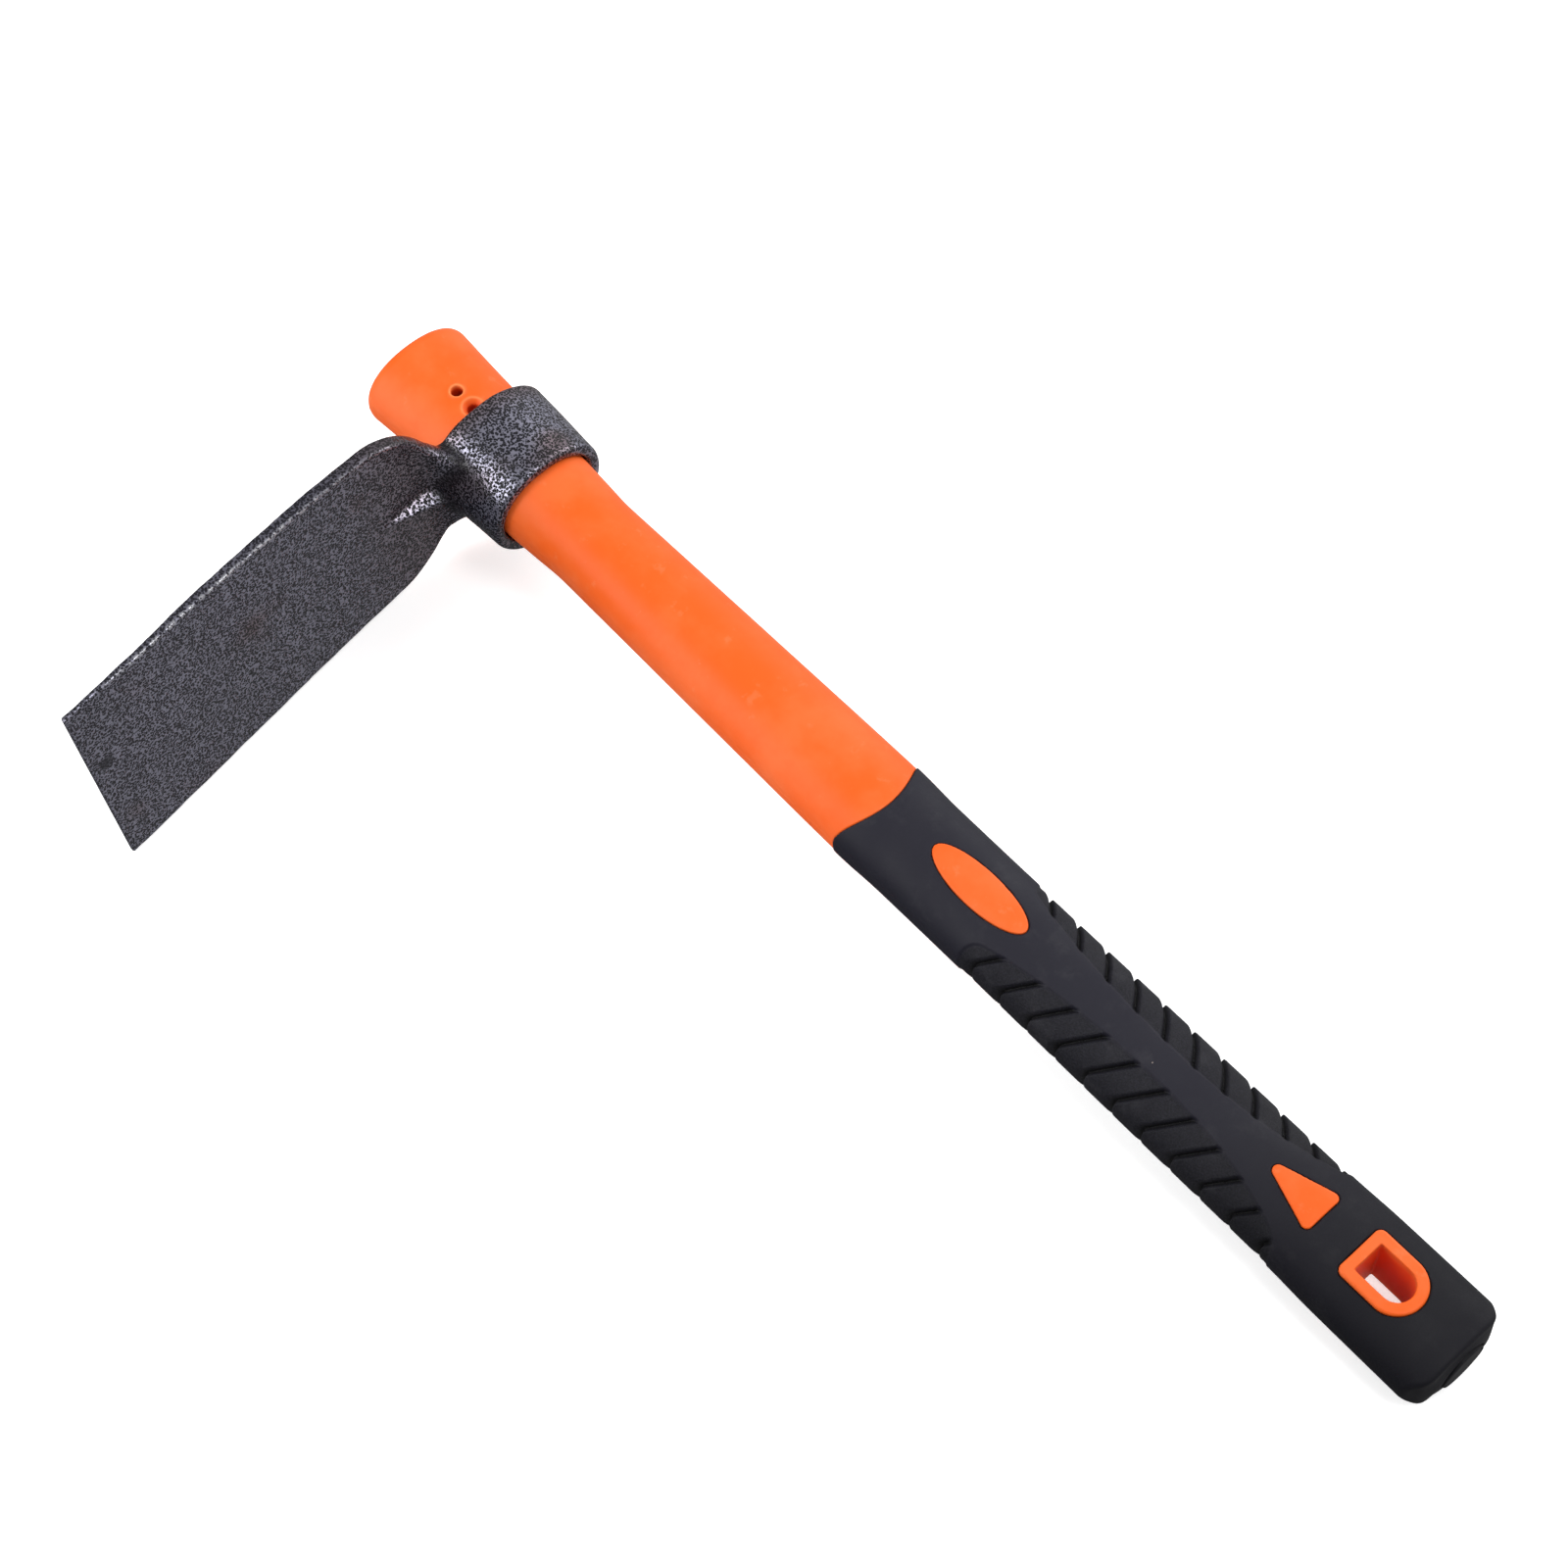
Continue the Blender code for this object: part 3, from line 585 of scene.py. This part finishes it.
# ---------------------------------------------------------------- materials
class Nodes:
    """A short way to write a material's node tree. Sizes are in millimetres."""

    def __init__(self, name):
        self.material = bpy.data.materials.new(name)
        self.material.use_nodes = True
        self.tree = self.material.node_tree
        self.shader = self.tree.nodes["Principled BSDF"]
        self.place = self.add("ShaderNodeTexCoord").outputs["Object"]

    def add(self, kind, settings=None, **inputs):
        node = self.tree.nodes.new(kind)
        for key, value in (settings or {}).items():
            setattr(node, key, value)
        for key, value in inputs.items():
            self.set(node.inputs[key.replace("_", " ")], value)
        return node

    def set(self, socket, value):
        if isinstance(value, bpy.types.NodeSocket):
            self.tree.links.new(value, socket)
        else:
            socket.default_value = value

    def noise(self, per_mm, detail, roughness=0.5):
        """Soft random value, with about per_mm changes in a millimetre."""
        node = self.add(
            "ShaderNodeTexNoise", Vector=self.place, Scale=per_mm / MM, Detail=detail, Roughness=roughness
        )
        return node.outputs["Fac"]

    def spots(self, per_mm, vector=None):
        """Distance to the nearest of random points, about per_mm of them along a millimetre."""
        node = self.add("ShaderNodeTexVoronoi", Vector=vector or self.place, Scale=per_mm / MM)
        return node.outputs["Distance"]

    def mark(self, name):
        """A value that the piece carries at its points."""
        return self.add("ShaderNodeAttribute", {"attribute_name": name}).outputs["Fac"]

    def range(self, value, from_low, from_high, to_low=0.0, to_high=1.0, kind="SMOOTHSTEP"):
        """The value, moved from one range to another and held at its ends."""
        node = self.add("ShaderNodeMapRange", {"interpolation_type": kind})
        for key, number in zip(("Value", "From Min", "From Max", "To Min", "To Max"),
                               (value, from_low, from_high, to_low, to_high)):
            self.set(node.inputs[key], number)
        return node.outputs["Result"]

    def math(self, operation, a, b):
        node = self.add("ShaderNodeMath", {"operation": operation})
        self.set(node.inputs[0], a)
        self.set(node.inputs[1], b)
        return node.outputs[0]

    def mix(self, share, a, b):
        """Colour between a and b."""
        node = self.add("ShaderNodeMix", {"data_type": "RGBA"})
        self.set(node.inputs[0], share)
        self.set(node.inputs[6], a if isinstance(a, bpy.types.NodeSocket) else (*a, 1.0))
        self.set(node.inputs[7], b if isinstance(b, bpy.types.NodeSocket) else (*b, 1.0))
        return node.outputs[2]

    def bump(self, height, millimetres, normal=None):
        """Raises the surface where height is 1, by that many millimetres."""
        node = self.add("ShaderNodeBump", Height=height, Distance=millimetres * MM, Strength=1.0)
        if normal is not None:
            self.set(node.inputs["Normal"], normal)
        return node.outputs["Normal"]

    def finish(self, **inputs):
        """The material, with the shader's inputs set."""
        for key, value in inputs.items():
            self.set(self.shader.inputs[key.replace("_", " ")], value)
        return self.material


def hammered_paint():
    """Black and silver hammertone: bright metallic veins round dark, slightly sunk cells, with painted
    shade and a painted highlight.
    """
    m = Nodes("hammered_paint")
    bend = m.add("ShaderNodeTexNoise", Vector=m.place, Scale=0.9 / MM, Detail=1.0)
    shift = m.add("ShaderNodeVectorMath", {"operation": "MULTIPLY_ADD"})
    m.set(shift.inputs[0], bend.outputs["Color"])
    m.set(shift.inputs[1], (0.5 * MM, 0.5 * MM, 0.5 * MM))
    m.set(shift.inputs[2], m.place)
    cells = m.spots(1.45, shift.outputs["Vector"])
    # Painted highlight: speckled glints that light the blade's near edge where the corner mark is set.
    glint = m.math("MULTIPLY", m.range(m.noise(0.5, 3.0), 0.35, 0.6), m.range(cells, 0.25, 0.5))
    corner = m.math("MULTIPLY", m.mark("corner"), glint)
    veins_and_highlight = m.math("MAXIMUM", m.range(cells, 0.47, 0.70), m.math("MULTIPLY", corner, 0.9))
    worn = m.range(m.noise(0.045, 3.0), 0.3, 0.75, 0.75, 1.0)
    # Painted shade in the crease, on the blade's side edges and on the eye's lower flank dims the silver
    # veins, and so does the real stain near the tip.
    thick = m.math("MAXIMUM", m.mark("painted_shade"), m.mark("stain"))
    silver = m.math("MULTIPLY", m.math("MULTIPLY", veins_and_highlight, worn), m.range(thick, 0.0, 1.0, 1.0, 0.12))
    patches = m.range(m.noise(0.03, 2.0), 0.60, 0.78)
    # Painted shade: the neck's darker, warmer tint, together with real random patches of tint.
    neck_shade_and_patches = m.math("MAXIMUM", m.math("MULTIPLY", m.mark("neck_shade"), 0.9), patches)
    dark = m.mix(neck_shade_and_patches, (0.0055, 0.0052, 0.0095), (0.0100, 0.0060, 0.0075))
    light = m.mix(neck_shade_and_patches, (0.290, 0.286, 0.360), (0.215, 0.166, 0.186))
    # Painted highlight: a pale silver along the blade's near edge.
    light = m.mix(corner, light, (0.62, 0.62, 0.66))
    beaten = m.bump(m.noise(0.5, 3.0), 0.13)
    return m.finish(
        Base_Color=m.mix(silver, dark, light),
        Metallic=m.range(silver, 0.0, 1.0, 0.0, 0.76),
        Roughness=0.25,
        Specular_IOR_Level=0.3,
        Normal=m.bump(m.range(cells, 0.0, 0.55, kind="LINEAR"), 0.09, beaten),
    )


def orange_polypropylene():
    """Slightly mottled and scuffed, with a pale painted highlight round the drilled holes and dark red
    painted shade inside them and inside the eyelet.
    """
    m = Nodes("orange_polypropylene")
    cloud = m.noise(0.05, 4.0, 0.6)
    blotch = m.range(cloud, 0.35, 0.70)
    grain = m.noise(6.0, 2.0)
    scuff = m.range(m.noise(0.9, 5.0, 0.7), 0.66, 0.74)
    rubbed = m.range(m.noise(0.22, 4.0, 0.6), 0.60, 0.72, 0.0, 0.35)
    colour = m.mix(blotch, (0.86, 0.116, 0.010), (0.87, 0.148, 0.030))
    colour = m.mix(rubbed, colour, (0.86, 0.21, 0.08))
    colour = m.mix(m.math("MULTIPLY", scuff, 0.3), colour, (0.84, 0.22, 0.08))
    # Painted highlight: a paler ring round each drilled hole.
    colour = m.mix(m.math("MULTIPLY", m.mark("rim"), 0.45), colour, (0.95, 0.42, 0.16))
    # Painted shade: dark red deep in the drilled holes, deep red in the eyelet.
    colour = m.mix(m.math("MULTIPLY", m.mark("drilled"), 0.9), colour, (0.45, 0.020, 0.003))
    colour = m.mix(m.math("MULTIPLY", m.mark("hollow"), 0.5), colour, (0.92, 0.050, 0.002))
    return m.finish(
        Base_Color=colour,
        Roughness=m.range(cloud, 0.2, 0.8, 0.40, 0.54),
        Specular_IOR_Level=0.2,
        Normal=m.bump(grain, 0.012, m.bump(cloud, 0.10)),
    )


def black_rubber():
    """Smooth on the faces, stippled on the side panels, with dust and faint smears, and painted shade in
    the grooves and towards the butt.
    """
    m = Nodes("black_rubber")
    panel = m.mark("panel")
    grain = m.noise(2.6, 3.0, 0.7)
    cloud = m.noise(0.06, 4.0, 0.6)
    dust = m.range(m.spots(0.13), 0.020, 0.032, 1.0, 0.0)
    speck = m.math("MULTIPLY", dust, m.range(m.noise(0.4, 2.0), 0.47, 0.55))
    smear = m.range(m.noise(0.10, 5.0, 0.65), 0.52, 0.76, 0.0, 0.5)
    colour = m.mix(cloud, (0.0070, 0.0066, 0.0142), (0.0108, 0.0100, 0.0190))
    rough = m.mix(m.range(grain, 0.4, 0.65), (0.0030, 0.0029, 0.0062), (0.0115, 0.0110, 0.0185))
    colour = m.mix(panel, colour, rough)
    colour = m.mix(smear, colour, (0.030, 0.029, 0.036))
    # Painted shade: the rubber is darker towards the butt.
    colour = m.mix(m.math("MULTIPLY", m.mark("butt_shade_and_dull"), 0.7), colour, (0.0020, 0.0020, 0.0030))
    # Painted shade: near black down in the grooves.
    colour = m.mix(m.range(m.mark("groove"), 0.2, 0.8, 0.0, 0.9), colour, (0.0015, 0.0015, 0.0020))
    colour = m.mix(speck, colour, (0.30, 0.25, 0.22))
    stipple = m.math("MULTIPLY", grain, m.range(panel, 0.0, 1.0, 0.15, 1.0))
    return m.finish(
        Base_Color=colour,
        Roughness=m.range(cloud, 0.2, 0.8, 0.56, 0.70),
        Specular_IOR_Level=m.range(m.mark("butt_shade_and_dull"), 0.0, 1.0, 0.30, 0.22),
        Normal=m.bump(stipple, 0.22),
    )


def glass_fibre():
    """Sawn end of a rod of resin and glass strands."""
    m = Nodes("glass_fibre")
    strands = m.spots(2.4)
    saw = m.noise(1.2, 4.0, 0.7)
    colour = m.mix(m.range(strands, 0.1, 0.6), (0.70, 0.62, 0.42), (0.42, 0.36, 0.20))
    colour = m.mix(m.range(saw, 0.5, 0.75, 0.0, 0.5), colour, (0.80, 0.76, 0.64))
    return m.finish(
        Base_Color=colour,
        Roughness=m.range(saw, 0.3, 0.7, 0.5, 0.75),
        Normal=m.bump(strands, 0.08, m.bump(saw, 0.1)),
    )


def black_plastic():
    """The butt plug's plain, finely grained plastic."""
    m = Nodes("black_plastic")
    grain = m.noise(3.0, 3.0)
    cloud = m.noise(0.2, 3.0)
    return m.finish(
        Base_Color=m.mix(cloud, (0.006, 0.006, 0.008), (0.011, 0.011, 0.013)),
        Roughness=m.range(cloud, 0.2, 0.8, 0.50, 0.62),
        Specular_IOR_Level=0.15,
        Normal=m.bump(grain, 0.015),
    )


def dress(piece, body, node, material):
    """Hangs a finished piece on its body in place of a CAD node."""
    piece.data.materials.append(material)
    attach(piece, body)
    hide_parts(node)


# ---------------------------------------------------------------- stage
SKY_SIDE = (0.35, 0.75, 0.56)                      # where the sky is brightest
SKY = (-0.7, 0.5, 0.10, 0.62)                      # two cosines to that side, and its strength at each
BACKDROP = 0.93                                    # its strength where the camera looks straight at it
# Three points that the floor touches, in millimetres from the low corner of the head's or the grip's box
FLOOR_AT_TIP, FLOOR_AT_ROOT, FLOOR_AT_BUTT = (17.0, 0.0, 0.0), (7.5, 106.4, 2.2), (-4.0, 0.0, 0.6)
FLOOR_GAP = 0.5                                    # the floor lies this far under them
FLOOR_REACH, FLOOR_GLOW = 6.0, 0.5                 # half size in metres, and glow that only the camera sees
# The camera's place in millimetres, its axes, and its lens, fitted to the object's outline
CAMERA_PLACE = (478.45, -237.35, 725.34)
CAMERA_RIGHT, CAMERA_UP = (0.6692, 0.7412, -0.0521), (-0.6425, 0.6124, 0.4606)
CAMERA_BACK = (0.3734, -0.2747, 0.8861)
CAMERA_LENS = 71.05


def look_frame(x_axis, y_axis, z_axis, origin):
    """The matrix with these axes and this origin."""
    return Matrix.Translation(origin) @ Matrix((x_axis, y_axis, z_axis)).transposed().to_4x4()


def add_floor():
    """A pale sheet just under the blade's edge and the butt, which the tool lies on."""
    blade_tip = Vector(HEAD_LOW + FLOOR_AT_TIP) * MM
    blade_root = Vector(HEAD_LOW + FLOOR_AT_ROOT) * MM
    butt = Vector(np.array((BUTT_X, 0.0, GRIP_LOW[2])) + FLOOR_AT_BUTT) * MM
    up = (blade_root - blade_tip).cross(butt - blade_tip).normalized()
    up = up if up.z > 0 else -up
    across = Vector((1, 0, 0)) - up * up.x
    across.normalize()
    corners = [(FLOOR_REACH * i, FLOOR_REACH * j, 0) for i, j in ((-1, -1), (1, -1), (1, 1), (-1, 1))]
    mesh = bpy.data.meshes.new("floor")
    mesh.from_pydata(corners, [], [(0, 1, 2, 3)])
    floor = link_object("floor", mesh)
    floor.matrix_world = look_frame(across, up.cross(across), up, blade_tip - up * FLOOR_GAP * MM)
    m = Nodes("pale_floor")
    seen = m.add("ShaderNodeLightPath").outputs["Is Camera Ray"]
    floor.data.materials.append(
        m.finish(
            Base_Color=(0.9, 0.9, 0.9, 1.0), Roughness=0.9, Specular_IOR_Level=0.1,
            Emission_Color=(1.0, 1.0, 1.0, 1.0), Emission_Strength=m.math("MULTIPLY", seen, FLOOR_GLOW),
        )
    )
    floor.visible_glossy = False


def add_light(name, place, target, wide, high, watts):
    """A soft box at the place, turned to the target, wide and high metres in size."""
    data = bpy.data.lights.new(name, "AREA")
    data.shape = "RECTANGLE"
    data.size, data.size_y = wide, high
    data.energy = watts
    light = link_object(name, data)
    light.location = place
    light.rotation_euler = (Vector(target) - Vector(place)).to_track_quat("-Z", "Y").to_euler()


def add_camera():
    """The photographer's place: above the tool, turned so that the handle runs down to the right."""
    data = bpy.data.cameras.new("camera")
    data.lens, data.sensor_width = CAMERA_LENS, 36.0
    data.clip_start, data.clip_end = 0.05, 20.0
    camera = link_object("camera", data)
    camera.matrix_world = look_frame(CAMERA_RIGHT, CAMERA_UP, CAMERA_BACK, Vector(CAMERA_PLACE) * MM)
    bpy.context.scene.camera = camera


def add_studio():
    """A sky that is dim on the blade's side and below, three soft lights, and an even backdrop."""
    world = bpy.data.worlds.new("studio")
    world.use_nodes = True
    nodes, links = world.node_tree.nodes, world.node_tree.links
    side = nodes.new("ShaderNodeVectorMath")
    side.operation = "DOT_PRODUCT"
    links.new(nodes.new("ShaderNodeTexCoord").outputs["Generated"], side.inputs[0])
    side.inputs[1].default_value = SKY_SIDE
    strength = nodes.new("ShaderNodeMapRange")
    links.new(side.outputs["Value"], strength.inputs["Value"])
    for key, number in zip(("From Min", "From Max", "To Min", "To Max"), SKY):
        strength.inputs[key].default_value = number
    nodes["Background"].inputs["Color"].default_value = (1.0, 1.0, 1.0, 1.0)
    seen = nodes.new("ShaderNodeMix")
    links.new(nodes.new("ShaderNodeLightPath").outputs["Is Camera Ray"], seen.inputs["Factor"])
    links.new(strength.outputs["Result"], seen.inputs["A"])
    seen.inputs["B"].default_value = BACKDROP
    links.new(seen.outputs["Result"], nodes["Background"].inputs["Strength"])
    bpy.context.scene.world = world
    bpy.context.scene.view_settings.view_transform = "Standard"
    add_light("key", (-0.22, -0.56, 0.36), (0.05, -0.01, 0.0), 0.30, 0.90, 4.6)
    add_light("front", (0.60, 0.08, 1.06), (0.04, -0.03, 0.0), 0.27, 0.60, 3.9)
    add_light("far_side", (0.15, 0.95, 0.55), (0.15, 0.0, 0.0), 0.90, 0.90, 6.8)


piece = add_field("hoe_head_forging", head, HEAD_LOW, HEAD_HIGH, head_marks, 1.1 * STEP)
dress(piece, "head", "hoe_head", hammered_paint())
piece = add_field("handle_moulding", jacket, HANDLE_LOW, HANDLE_HIGH, jacket_marks)
dress(piece, "handle", "handle_jacket", orange_polypropylene())
piece = add_field("grip_sleeve", grip, GRIP_LOW, GRIP_HIGH, grip_marks)
dress(piece, "handle", "rubber_grip", black_rubber())
dress(add_core(), "handle", "fibreglass_core", glass_fibre())
dress(add_plug(), "handle", "butt_plug", black_plastic())

add_floor()
add_studio()
add_camera()
